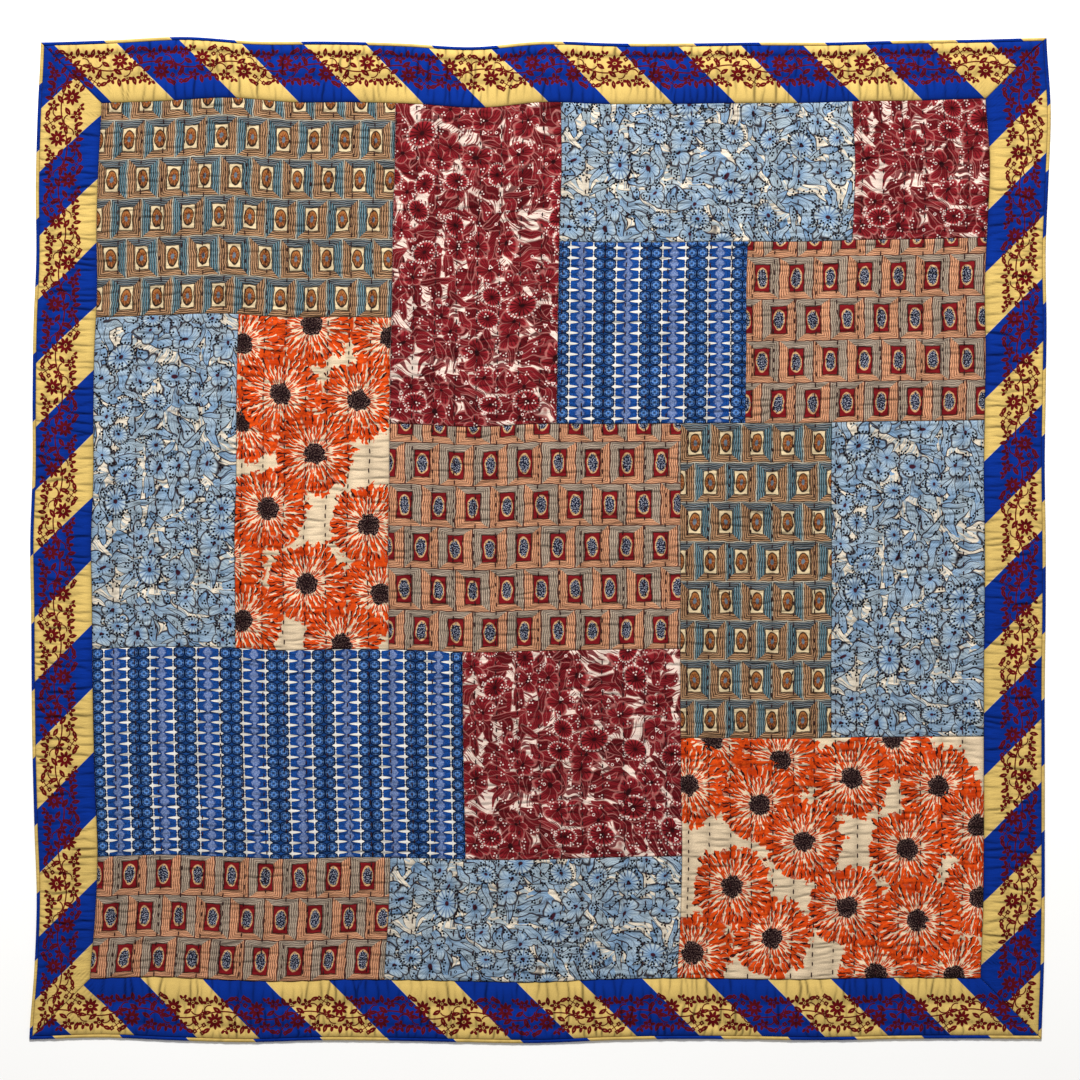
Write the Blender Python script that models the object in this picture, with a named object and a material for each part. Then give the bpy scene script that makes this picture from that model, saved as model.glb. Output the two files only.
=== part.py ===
"""A quilted patchwork bedspread, laid out flat.

Sixteen rectangles of printed cotton are sewn together into a field, a striped border
with mitred corners runs round it, and a narrow binding is folded over the raw edge.
Running stitches in vertical rows draw the field into soft channels, and rows along the
border do the same there. Each patch and strip is built through its whole depth, flat
below and padded above, 0.3 mm from its neighbours.
"""
import math

import bmesh
import bpy
from mathutils import Vector

# Sizes in metres
HALF_WIDTH = 1.098
HALF_LENGTH = 1.084
BORDER = 0.132
BINDING = 0.007
GAP = 0.0003
MITRE_GAP = 0.75 * GAP

# Heights of the padded top above the floor
ROW_HEIGHT = 0.0028
CROWN_HEIGHT = 0.0062
BINDING_HEIGHT = 0.0046
FOLD_RADIUS = 0.0019

# Quilting
FIELD_CHANNELS = 42
CHANNEL_PARTS = 3
BORDER_ROWS = (0.030, 0.079)
NEAREST_CUT = 0.006
SEAM_DIP = 0.78
UNEVEN = 0.13

# How far each side lies outside its straight line, in millimetres, at even steps along
# the side: upward for left and right, rightward for lower and upper.
EDGE_COLUMNS = ("left", "right", "lower", "upper")
EDGE_WAVES = (
    (9, -9, -3, -2),
    (-2, -4, -7, 3),
    (-7, -2, -1, 10),
    (-2, -2, 3, 0),
    (2, -2, -1, 0),
    (4, -2, 0, -4),
    (5, 0, 3, -12),
    (7, 0, 5, 0),
    (2, -2, -1, -4),
    (2, 0, -4, -4),
    (0, 2, -3, -2),
    (-6, 0, -1, -2),
    (-5, 6, -4, 2),
    (-9, 11, -5, 4),
    (-16, 2, -4, 8),
)
STEPS = len(EDGE_WAVES) - 1

# The patches in the field, in millimetres from the middle of the bedspread
PATCH_COLUMNS = ("name", "print", "left", "right", "lower", "upper")
PATCHES = (
    ("patch_01", "teal_frames", -966, -324, 486, 952),
    ("patch_02", "burgundy_floral", -324, 38, 256, 952),
    ("patch_03", "sky_floral", 38, 674, 651, 952),
    ("patch_04", "burgundy_floral", 674, 966, 651, 952),
    ("patch_05", "blue_columns", 38, 447, 256, 651),
    ("patch_06", "salmon_frames", 447, 966, 256, 651),
    ("patch_07", "sky_floral", -966, -656, -235, 486),
    ("patch_08", "orange_flowers", -656, -324, -235, 486),
    ("patch_09", "salmon_frames", -324, 308, -235, 256),
    ("patch_10", "teal_frames", 308, 635, -429, 256),
    ("patch_11", "sky_floral", 635, 966, -429, 256),
    ("patch_12", "blue_columns", -966, -164, -687, -235),
    ("patch_13", "burgundy_floral", -164, 308, -687, -235),
    ("patch_14", "salmon_frames", -966, -328, -952, -687),
    ("patch_15", "sky_floral", -328, 308, -952, -687),
    ("patch_16", "orange_flowers", 308, 966, -952, -429),
)

# Mean colour of each cloth, linear
PRINT_COLOURS = {
    "teal_frames": (0.21, 0.17, 0.12),
    "burgundy_floral": (0.27, 0.07, 0.07),
    "sky_floral": (0.24, 0.29, 0.33),
    "blue_columns": (0.07, 0.13, 0.26),
    "salmon_frames": (0.29, 0.15, 0.10),
    "orange_flowers": (0.47, 0.13, 0.07),
    "striped_border": (0.18, 0.12, 0.10),
    "striped_binding": (0.30, 0.24, 0.20),
}
CLOTH_ROUGHNESS = 0.85

SIDES = ("lower", "right", "upper", "left")


def clear_scene():
    for ob in list(bpy.data.objects):
        bpy.data.objects.remove(ob, do_unlink=True)


def cloth_material(name):
    mat = bpy.data.materials.new(name)
    mat.use_nodes = True
    shader = mat.node_tree.nodes["Principled BSDF"]
    shader.inputs["Base Color"].default_value = (*PRINT_COLOURS[name], 1.0)
    shader.inputs["Roughness"].default_value = CLOTH_ROUGHNESS
    shader.inputs["Metallic"].default_value = 0.0
    return mat


def edge_wave(side, place):
    """Distance of a side outside its straight line, at a place from -1 to 1 along it."""
    column = EDGE_COLUMNS.index(side)
    steps = min(max((place + 1) / 2, 0.0), 1.0) * STEPS
    row = min(int(steps), STEPS - 1)
    low, high = EDGE_WAVES[row][column], EDGE_WAVES[row + 1][column]
    return (low + (high - low) * (steps - row)) * 0.001


def lie(x, y, inward=BORDER):
    """Where a point of the straight layout lies once the cloth is spread out.

    inward is the point's distance from the outer edge, or the border's width for any
    point of the field, so that the border keeps its width where its edge waves.
    """
    u = x / (HALF_WIDTH - inward)
    v = y / (HALF_LENGTH - inward)
    across = edge_wave("right", v) * (1 + u) / 2 - edge_wave("left", v) * (1 - u) / 2
    along = edge_wave("upper", u) * (1 + v) / 2 - edge_wave("lower", u) * (1 - v) / 2
    return x + across, y + along


def plumpness(x, y):
    """Uneven filling: some stretches of a channel stand higher than others."""
    slow = math.sin(7.3 * x + 2.1 * y + 0.5) * math.sin(5.7 * y - 1.9 * x)
    quick = math.sin(31.0 * x + 3.0) * math.sin(23.0 * y + 1.0)
    return 1.0 + UNEVEN * (0.6 * slow + 0.4 * quick)


def padded_height(part, x, y):
    """Height of the top, with part running from 0 to 1 between two rows of stitches."""
    crown = math.sin(math.pi * part) ** 0.6
    return ROW_HEIGHT + (CROWN_HEIGHT - ROW_HEIGHT) * crown * plumpness(x, y)


def cuts_between(rows, low, high):
    """Cuts at each row of stitches and between them, kept clear of the two ends."""
    cuts = []
    for first, second in zip(rows, rows[1:]):
        for step in range(CHANNEL_PARTS):
            cuts.append(first + (second - first) * step / CHANNEL_PARTS)
    return [cut for cut in cuts if low + NEAREST_CUT < cut < high - NEAREST_CUT]


def block(low, high, x_cuts, y_cuts):
    """A box from one corner to the other with loop cuts across X and across Y."""
    bm = bmesh.new()
    bmesh.ops.create_cube(bm, size=1.0)
    size = high - low
    bmesh.ops.scale(bm, vec=size, verts=bm.verts)
    bmesh.ops.translate(bm, vec=low + size / 2, verts=bm.verts)
    for normal, cuts in (((1, 0, 0), x_cuts), ((0, 1, 0), y_cuts)):
        for cut in cuts:
            geometry = bm.verts[:] + bm.edges[:] + bm.faces[:]
            point = Vector(normal) * cut
            bmesh.ops.bisect_plane(bm, geom=geometry, plane_co=point, plane_no=normal)
    return bm


def step_cuts(half, low, high):
    """Cuts at the steps of the waves, which run from -half to half."""
    steps = [half * (2 * step / STEPS - 1) for step in range(1, STEPS)]
    return [cut for cut in steps if low + NEAREST_CUT < cut < high - NEAREST_CUT]


def add_piece(name, bm, cloth, home, collection, carrier):
    """Make an object of the mesh, with its origin at the piece's own middle."""
    bmesh.ops.translate(bm, vec=-home, verts=bm.verts)
    bmesh.ops.recalc_face_normals(bm, faces=bm.faces)
    mesh = bpy.data.meshes.new(name)
    bm.to_mesh(mesh)
    bm.free()
    mesh.materials.append(cloth)
    ob = bpy.data.objects.new(name, mesh)
    ob.location = home
    ob.parent = carrier
    collection.objects.link(ob)
    return ob


def make_patch(row, materials, collection, carrier):
    """A patch: loop cuts at the stitch rows, raised between them and dipped at its seams."""
    patch = dict(zip(PATCH_COLUMNS, row))
    left, right = patch["left"] * 0.001 + GAP / 2, patch["right"] * 0.001 - GAP / 2
    lower, upper = patch["lower"] * 0.001 + GAP / 2, patch["upper"] * 0.001 - GAP / 2
    field_left = BORDER - HALF_WIDTH
    channel = -2 * field_left / FIELD_CHANNELS
    rows = [field_left + channel * number for number in range(FIELD_CHANNELS + 1)]
    x_cuts = cuts_between(rows, left, right)
    y_cuts = step_cuts(HALF_LENGTH - BORDER, lower, upper)
    bm = block(Vector((left, lower, 0)), Vector((right, upper, 1)), x_cuts, y_cuts)
    for vert in bm.verts:
        x, y, top = vert.co
        if top > 0.5:
            top = padded_height((x - field_left) / channel % 1.0, x, y)
            if min(x - left, right - x, y - lower, upper - y) < GAP:
                top *= SEAM_DIP
        vert.co = (*lie(x, y), top)
    home = Vector((*lie((left + right) / 2, (lower + upper) / 2), 0))
    cloth = materials[patch["print"]]
    add_piece(f"{patch['name']}_{patch['print']}", bm, cloth, home, collection, carrier)


def side_point(side, along, inward):
    """Where a point on a side lies.

    along runs from -1 to 1 between the two mitres, and inward is the distance from the
    outer edge. The ends stop just short of the mitre.
    """
    reach_x = (HALF_WIDTH - inward) * along
    reach_y = (HALF_LENGTH - inward) * along
    if abs(along) > 0.999:
        reach_x -= math.copysign(MITRE_GAP, along)
        reach_y -= math.copysign(MITRE_GAP, along)
    if side == "lower":
        return lie(reach_x, inward - HALF_LENGTH, inward)
    if side == "right":
        return lie(HALF_WIDTH - inward, reach_y, inward)
    if side == "upper":
        return lie(-reach_x, HALF_LENGTH - inward, inward)
    return lie(inward - HALF_WIDTH, -reach_y, inward)


def part_between(rows, place):
    """How far a place is on its way from one row to the next, from 0 to 1."""
    for first, second in zip(rows, rows[1:]):
        if place < second:
            return max(0.0, (place - first) / (second - first))
    return 1.0


def make_border(side, materials, collection, carrier):
    """A border strip with mitred ends and three lengthwise channels."""
    outer, inner = BINDING + GAP / 2, BORDER - GAP / 2
    rows = (outer, *BORDER_ROWS, inner)
    along_cuts = step_cuts(1, -1, 1)
    row_cuts = cuts_between(rows, outer, inner)
    bm = block(Vector((-1, outer, 0)), Vector((1, inner, 1)), along_cuts, row_cuts)
    for vert in bm.verts:
        along, inward, top = vert.co
        x, y = side_point(side, along, inward)
        if top > 0.5:
            top = padded_height(part_between(rows, inward), x, y)
            if abs(along) > 1.0 - GAP:
                top *= SEAM_DIP
        vert.co = (x, y, top)
    home = Vector((*side_point(side, 0, BORDER / 2), 0))
    cloth = materials["striped_border"]
    add_piece(f"border_{side}", bm, cloth, home, collection, carrier)


def make_binding(side, materials, collection, carrier):
    """A binding strip, folded over the edge and so rounded on its outer side."""
    low = Vector((-1, 0, 0))
    high = Vector((1, BINDING - GAP / 2, BINDING_HEIGHT))
    bm = block(low, high, [], [])
    folds = []
    for edge in bm.edges:
        first, second = edge.verts
        if max(first.co.y, second.co.y) < GAP and abs(first.co.x - second.co.x) > 1:
            folds.append(edge)
    bmesh.ops.bevel(bm, geom=folds, offset=FOLD_RADIUS, segments=2, affect="EDGES",
                    profile=0.5)
    for cut in step_cuts(1, -1, 1):
        geometry = bm.verts[:] + bm.edges[:] + bm.faces[:]
        bmesh.ops.bisect_plane(bm, geom=geometry, plane_co=(cut, 0, 0), plane_no=(1, 0, 0))
    for vert in bm.verts:
        along, inward, height = vert.co
        vert.co = (*side_point(side, along, inward), height)
    home = Vector((*side_point(side, 0, BINDING / 2), 0))
    cloth = materials["striped_binding"]
    add_piece(f"binding_{side}", bm, cloth, home, collection, carrier)


def centre_on_floor(collection, carrier):
    """Move the whole so that its outline's middle is at the origin."""
    corners = [ob.location + v.co for ob in collection.objects if ob.type == "MESH"
               for v in ob.data.vertices]
    middle_x = (min(c.x for c in corners) + max(c.x for c in corners)) / 2
    middle_y = (min(c.y for c in corners) + max(c.y for c in corners)) / 2
    carrier.location = (-middle_x, -middle_y, 0)


def main():
    clear_scene()
    collection = bpy.data.collections.new("patchwork_bedspread")
    bpy.context.scene.collection.children.link(collection)
    carrier = bpy.data.objects.new("bedspread", None)
    collection.objects.link(carrier)
    materials = {name: cloth_material(name) for name in PRINT_COLOURS}
    for row in PATCHES:
        make_patch(row, materials, collection, carrier)
    for side in SIDES:
        make_border(side, materials, collection, carrier)
        make_binding(side, materials, collection, carrier)
    centre_on_floor(collection, carrier)


main()
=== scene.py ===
# %% [markdown]
# # A quilted patchwork bedspread, seen from straight above
#
# Sixteen rectangles of printed cotton are sewn into a field. A striped border with
# mitred corners runs round it and a narrow binding is folded over the raw edge. Long
# rows of running stitches hold the layers together and draw the cloth into soft
# channels full of small puckers.
#
# The solid model of the bedspread is loaded first and never moves. Each piece made here
# lies exactly where its solid lies and takes its place in the picture.

# %% Load the solid model
import math
from functools import partial

import bpy
import numpy as np
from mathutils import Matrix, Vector


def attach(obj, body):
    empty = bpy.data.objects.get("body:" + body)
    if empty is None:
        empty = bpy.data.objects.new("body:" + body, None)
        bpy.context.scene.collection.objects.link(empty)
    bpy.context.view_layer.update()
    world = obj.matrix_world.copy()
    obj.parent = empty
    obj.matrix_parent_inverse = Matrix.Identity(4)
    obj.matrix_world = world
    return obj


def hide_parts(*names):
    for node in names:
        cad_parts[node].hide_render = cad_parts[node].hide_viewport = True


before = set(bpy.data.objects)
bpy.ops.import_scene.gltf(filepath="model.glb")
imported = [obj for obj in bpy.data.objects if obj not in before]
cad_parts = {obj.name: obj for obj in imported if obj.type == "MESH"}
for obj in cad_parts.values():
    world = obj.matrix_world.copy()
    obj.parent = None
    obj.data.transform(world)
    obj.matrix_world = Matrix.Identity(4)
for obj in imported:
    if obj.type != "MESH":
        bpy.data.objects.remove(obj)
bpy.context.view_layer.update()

# %% [markdown]
# ## Sizes
#
# Lengths along the cloth are in millimetres, because cloth is cut and printed by the
# millimetre. They become metres only when the points of a mesh are worked out. The
# layout is written as if every seam were straight. The function called lie then moves
# each point to where the cloth really lies.

# %% Sizes of the bedspread
MM = 0.001
HALF_WIDTH = 1098.0
HALF_LENGTH = 1084.0
BORDER = 132.0
BINDING = 7.0
GAP = 0.3
FIELD_CHANNELS = 42
BORDER_ROWS = (30.0, 79.0)
FIELD_LEFT = BORDER - HALF_WIDTH
FIELD_LOWER = BORDER - HALF_LENGTH
CHANNEL = -2 * FIELD_LEFT / FIELD_CHANNELS

# How far each side lies outside its straight line, at even steps along it: upward for
# left and right, rightward for lower and upper.
EDGE_COLUMNS = ("left", "right", "lower", "upper")
EDGE_WAVES = np.array((
    (9, -9, -3, -2),
    (-2, -4, -7, 3),
    (-7, -2, -1, 10),
    (-2, -2, 3, 0),
    (2, -2, -1, 0),
    (4, -2, 0, -4),
    (5, 0, 3, -12),
    (7, 0, 5, 0),
    (2, -2, -1, -4),
    (2, 0, -4, -4),
    (0, 2, -3, -2),
    (-6, 0, -1, -2),
    (-5, 6, -4, 2),
    (-9, 11, -5, 4),
    (-16, 2, -4, 8),
), dtype=float)

PATCH_COLUMNS = ("name", "print", "left", "right", "lower", "upper")
PATCHES = (
    ("patch_01", "teal_frames", -966, -324, 486, 952),
    ("patch_02", "burgundy_floral", -324, 38, 256, 952),
    ("patch_03", "sky_floral", 38, 674, 651, 952),
    ("patch_04", "burgundy_floral", 674, 966, 651, 952),
    ("patch_05", "blue_columns", 38, 447, 256, 651),
    ("patch_06", "salmon_frames", 447, 966, 256, 651),
    ("patch_07", "sky_floral", -966, -656, -235, 486),
    ("patch_08", "orange_flowers", -656, -324, -235, 486),
    ("patch_09", "salmon_frames", -324, 308, -235, 256),
    ("patch_10", "teal_frames", 308, 635, -429, 256),
    ("patch_11", "sky_floral", 635, 966, -429, 256),
    ("patch_12", "blue_columns", -966, -164, -687, -235),
    ("patch_13", "burgundy_floral", -164, 308, -687, -235),
    ("patch_14", "salmon_frames", -966, -328, -952, -687),
    ("patch_15", "sky_floral", -328, 308, -952, -687),
    ("patch_16", "orange_flowers", 308, 966, -952, -429),
)
SIDES = ("lower", "right", "upper", "left")
print("channels across the field are", round(CHANNEL, 1), "mm wide")


# %% Where the cloth lies
def edge_wave(side, place):
    """How far a side lies outside its straight line, smoothly between the table's rows."""
    column = EDGE_WAVES[:, EDGE_COLUMNS.index(side)]
    last = len(column) - 1
    steps = np.clip((place + 1) / 2, 0, 1) * last
    row = np.minimum(steps.astype(int), last - 1)
    part = steps - row
    before, low = column[np.maximum(row - 1, 0)], column[row]
    high, after = column[row + 1], column[np.minimum(row + 2, last)]
    rise, fall = (high - before) / 2, (after - low) / 2
    cubic = (2 * (low - high) + rise + fall) * part ** 3
    square = (3 * (high - low) - 2 * rise - fall) * part ** 2
    return cubic + square + rise * part + low


def lie(x, y, inward=BORDER):
    """The place in metres of a point of the straight layout, centred as the solids are."""
    u = x / (HALF_WIDTH - inward)
    v = y / (HALF_LENGTH - inward)
    across = edge_wave("right", v) * (1 + u) / 2 - edge_wave("left", v) * (1 - u) / 2
    along = edge_wave("upper", u) * (1 + v) / 2 - edge_wave("lower", u) * (1 - v) / 2
    reach = EDGE_WAVES.max(axis=0)
    middle_x = (reach[1] - reach[0]) / 2
    middle_y = (reach[3] - reach[2]) / 2
    return (x + across - middle_x) * MM, (y + along - middle_y) * MM


def side_point(side, along, inward):
    """The straight layout's point on a side, with along from -1 to 1 between mitres."""
    reach_x = (HALF_WIDTH - inward) * along
    reach_y = (HALF_LENGTH - inward) * along
    end = np.where(np.abs(along) > 0.9999, np.sign(along) * 0.75 * GAP, 0)
    if side == "lower":
        return reach_x - end, inward - HALF_LENGTH
    if side == "right":
        return HALF_WIDTH - inward, reach_y - end
    if side == "upper":
        return end - reach_x, HALF_LENGTH - inward
    return inward - HALF_WIDTH, end - reach_y


# %% [markdown]
# ## Puckers
#
# Quilting thread is pulled a little tight, so the cloth between two rows of stitches is
# too long for its place and buckles into small creases across the channel. They could
# be painted, but light then falls on them wrongly from the side. Here they are real
# relief, and the cotton material also paints shade into their troughs. Each channel gets
# narrow creases at uneven steps, some right across it and some fading out from one row,
# and between two creases the cloth stands up in a small puff. The random numbers are
# seeded, so the cloth is the same each time.

# %% Puckers between the stitch rows
MAP_ALONG = 1.0
MAP_ACROSS = 2.0
PUCKER_STEP = (9.0, 21.0)
PUCKER_WIDTH = (1.3, 2.3)
PUCKER_DEPTH = (0.7, 2.2)
PUCKER_SLANT = 0.11
PUCKER_BOW = 2.2
PUCKER_SWAY = 0.35
PUFF_RISE = 0.8


def pucker_map(length, rows, seed, step=PUCKER_STEP, boldness=1.0):
    """Relief in millimetres on a fine grid, along the channels and across them."""
    rng = np.random.default_rng(seed)
    along = np.arange(0, length + MAP_ALONG, MAP_ALONG)
    across = np.arange(0, rows[-1] - rows[0] + MAP_ACROSS, MAP_ACROSS)
    relief = np.zeros((len(along), len(across)))
    for first, second in zip(rows, rows[1:]):
        inside = np.flatnonzero((across >= first - rows[0]) & (across < second - rows[0]))
        part = (across[inside] + rows[0] - first) / (second - first)
        starts = np.cumsum(rng.uniform(*step, int(length / step[0]) + 4)) - 2 * step[1]
        starts = starts[starts < length + step[1]]
        count = len(starts)
        slant = rng.normal(0, PUCKER_SLANT, count) * (second - first)
        bow = rng.normal(0, PUCKER_BOW, count)
        lines = starts[:, None] + slant[:, None] * (part - 0.5) + bow[:, None] * np.sin(math.pi * part)
        lines += np.cumsum(rng.normal(0, PUCKER_SWAY, lines.shape), axis=1)
        lines = np.sort(lines, axis=0)
        fades = np.stack((np.ones_like(part), (1 - part) ** 1.2, part ** 1.2))
        fade = fades[rng.integers(0, 3, count)]
        width = rng.uniform(*PUCKER_WIDTH, count)[:, None]
        depth = boldness * rng.uniform(*PUCKER_DEPTH, count)[:, None] * fade
        rim = np.sin(math.pi * np.clip(part, 0.02, 0.98)) ** 0.4
        for number, column in enumerate(inside):
            line = lines[:, number]
            above = np.clip(np.searchsorted(line, along), 1, count - 1)
            below = above - 1
            share = (along - line[below]) / np.maximum(line[above] - line[below], 0.5)
            share = np.clip(share, 0, 1)
            held = fade[below, number] * (1 - share) + fade[above, number] * share
            puff = 1 - held * (1 - np.sin(math.pi * share) ** 0.7)
            creases = np.zeros_like(along)
            for edge in (below, above):
                off = np.abs(along - line[edge]) / width[edge, 0]
                creases += depth[edge, number] * np.exp(-off ** 1.4)
            relief[:, column] = (boldness * PUFF_RISE * (puff - 0.5) - creases) * rim[number]
    return relief


def read_map(relief, along, across):
    """The relief at any place, eased between the grid's points."""
    row = np.clip(along / MAP_ALONG, 0, relief.shape[0] - 1.001)
    column = np.clip(across / MAP_ACROSS, 0, relief.shape[1] - 1.001)
    r, c = row.astype(int), column.astype(int)
    fr, fc = row - r, column - c
    low = relief[r, c] * (1 - fc) + relief[r, c + 1] * fc
    high = relief[r + 1, c] * (1 - fc) + relief[r + 1, c + 1] * fc
    return low * (1 - fr) + high * fr


field_rows = [FIELD_LEFT + CHANNEL * number for number in range(FIELD_CHANNELS + 1)]
field_relief = pucker_map(-2 * FIELD_LOWER, field_rows, seed=1)
print("relief of the field:", round(field_relief.min(), 2), "to", round(field_relief.max(), 2), "mm")

# %% [markdown]
# ## The height of the padded cloth
#
# The stitch rows pull the cloth down to 2.8 mm and the filling stands up to about 6 mm
# between them, as in the solids. The same rule gives the height anywhere, so two
# patches that meet at a seam stand equally high there, and a stitch finds the cloth that
# it is sewn into.

# %% Height of the cloth
ROW_HEIGHT = 2.8
CROWN_RISE = 3.4
UNEVEN = 0.13
SEAM_DIP = 0.28
SEAM_REACH = 2.2
LEAST_HEIGHT = 1.2


def plumpness(x, y):
    """Uneven filling, some stretches higher than others."""
    x, y = x * MM, y * MM
    slow = np.sin(7.3 * x + 2.1 * y + 0.5) * np.sin(5.7 * y - 1.9 * x)
    quick = np.sin(31.0 * x + 3.0) * np.sin(23.0 * y + 1.0)
    return 1.0 + UNEVEN * (0.6 * slow + 0.4 * quick)


def padded(part, x, y, relief, from_seam):
    """Height in millimetres above the floor."""
    crown = np.sin(math.pi * np.clip(part, 0, 1)) ** 0.6
    height = ROW_HEIGHT + CROWN_RISE * crown * plumpness(x, y) + relief
    return np.maximum(height * (1 - SEAM_DIP * np.exp(-from_seam / SEAM_REACH)), LEAST_HEIGHT)


def field_height(x, y, from_seam):
    """Height and relief of the field at a place of the straight layout."""
    relief = read_map(field_relief, y - FIELD_LOWER, x - FIELD_LEFT)
    part = (x - FIELD_LEFT) / CHANNEL % 1.0
    return padded(part, x, y, relief, from_seam), relief


# %% [markdown]
# ## Colours and the one node helper
#
# Printed colours are written as the hex values that a paint program shows, and one
# function turns them to the linear values that the renderer works with. One more
# function adds a shader node. The word after the node's kind is its main setting, such
# as what a Math node does. Other settings go by name. The inputs are fed in order, each
# with a number, a colour or another node's output, and those left over keep their own
# values.

# %% Colour and node helpers
def ink(code):
    """An sRGB hex colour as linear red, green, blue and alpha."""
    parts = [int(code[i:i + 2], 16) / 255 for i in (1, 3, 5)]
    linear = [p / 12.92 if p <= 0.04045 else ((p + 0.055) / 1.055) ** 2.4 for p in parts]
    return (*linear, 1.0)


MAIN_SETTING = {"Mix": "data_type", "TexNoise": "noise_dimensions", "TexVoronoi": "voronoi_dimensions"}


def put(tree, kind, *feeds, take=0, **settings):
    """Add a shader node, set it up, feed its inputs in order and return one output."""
    kind, _, choice = kind.partition(" ")
    new = tree.nodes.new("ShaderNode" + kind)
    if choice:
        settings[MAIN_SETTING.get(kind, "operation")] = choice
    for name, value in settings.items():
        setattr(new, name, value)
    for socket, value in zip([s for s in new.inputs if s.enabled], feeds):
        if isinstance(value, bpy.types.NodeSocket):
            tree.links.new(value, socket)
        elif value is not None:
            socket.default_value = ink(value) if isinstance(value, str) else value
    shown = [s for s in new.outputs if s.enabled]
    if take is None:
        return shown
    return new.outputs[take] if isinstance(take, str) else shown[take]


# %% [markdown]
# ## Printed motifs
#
# A print is drawn on the cloth's own flat plan, in millimetres, which every mesh
# carries as an attribute called cloth_mm. So the print bends with the cloth and never
# slides. A motif is drawn once, in its own small plan where it is one unit in size, and
# the nodes turn each point of the cloth into the plan of the motif there. Inks are then
# laid over one another in order, as in block printing, each where some measure of the
# plan runs between two limits.

# %% Draw a motif in its own plan
def own_plan(add, place, x, y, turn, size):
    """The place in the plan of a motif at a spot, and how far it is from the middle."""
    local = add("VectorMath SUBTRACT", place, (x, y, 0))
    if turn:
        local = add("VectorRotate", local, (0, 0, 0), -math.radians(turn), rotation_type="Z_AXIS")
    local = add("VectorMath SCALE", local, 1 / size)
    return local, add("VectorMath LENGTH", local, take="Value")


def polar(add, local):
    """The two coordinates in a motif's plan, the distance from its middle and the angle."""
    x, y, _ = add("SeparateXYZ", local, take=None)
    away = add("VectorMath LENGTH", local, take="Value")
    return x, y, away, add("Math ARCTAN2", y, x)


def past_petals(add, away, angle, roundness, depth):
    """Where five petals part, and how far a point is outside their rounded ends."""
    lobes = add("Math ABSOLUTE", add("Math COSINE", add("Math MULTIPLY", angle, 2.5)))
    reach = add("Math MULTIPLY_ADD", add("Math POWER", lobes, roundness), depth, 1 - depth)
    return lobes, add("Math SUBTRACT", away, reach)


def apart(add, value, middle):
    """How far a value is from a middle one, on either side."""
    return add("Math ABSOLUTE", add("Math SUBTRACT", value, middle))


def where_both(add, *ranges):
    """How far two measures have both run their ranges."""
    first, second = [add("MapRange", *limits) for limits in ranges]
    return add("Math MULTIPLY", first, second)


def print_over(add, colour, *layers):
    """Print inks over a colour in turn, each strong or faint as a measure runs its range."""
    for measure, start, end, first, last, shade in layers:
        share = add("MapRange", measure, start, end, first, last)
        colour = add("Mix RGBA", share, colour, shade)
    return colour


# %% [markdown]
# ## The cloth itself
#
# All the patches are plain-woven cotton, printed, washed and soft. Cotton has no gloss
# of its own, so the roughness is high, and loose fibres on the surface give a faint
# sheen at low angles. Its index of refraction is about 1.54. Print on used cotton is
# never even: it has faded a little in broad patches. Shade is painted into the colour
# too: darker in the troughs of the puckers, near the stitch rows and along the seams.
# The threads are 0.5 mm apart on the real cloth, too fine to show here, so the
# weave is drawn three times as coarse. The lamp and the sky together give more than full
# white, so every ink is taken down by the same share.

# %% Cotton finish
COTTON_IOR = 1.54
COTTON_ROUGHNESS = 0.86
THREAD_SPACING = 1.5
FADE_SIZE = 75.0
INK_DEPTH = 0.78
GRAIN_SIZE = 1.7


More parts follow.
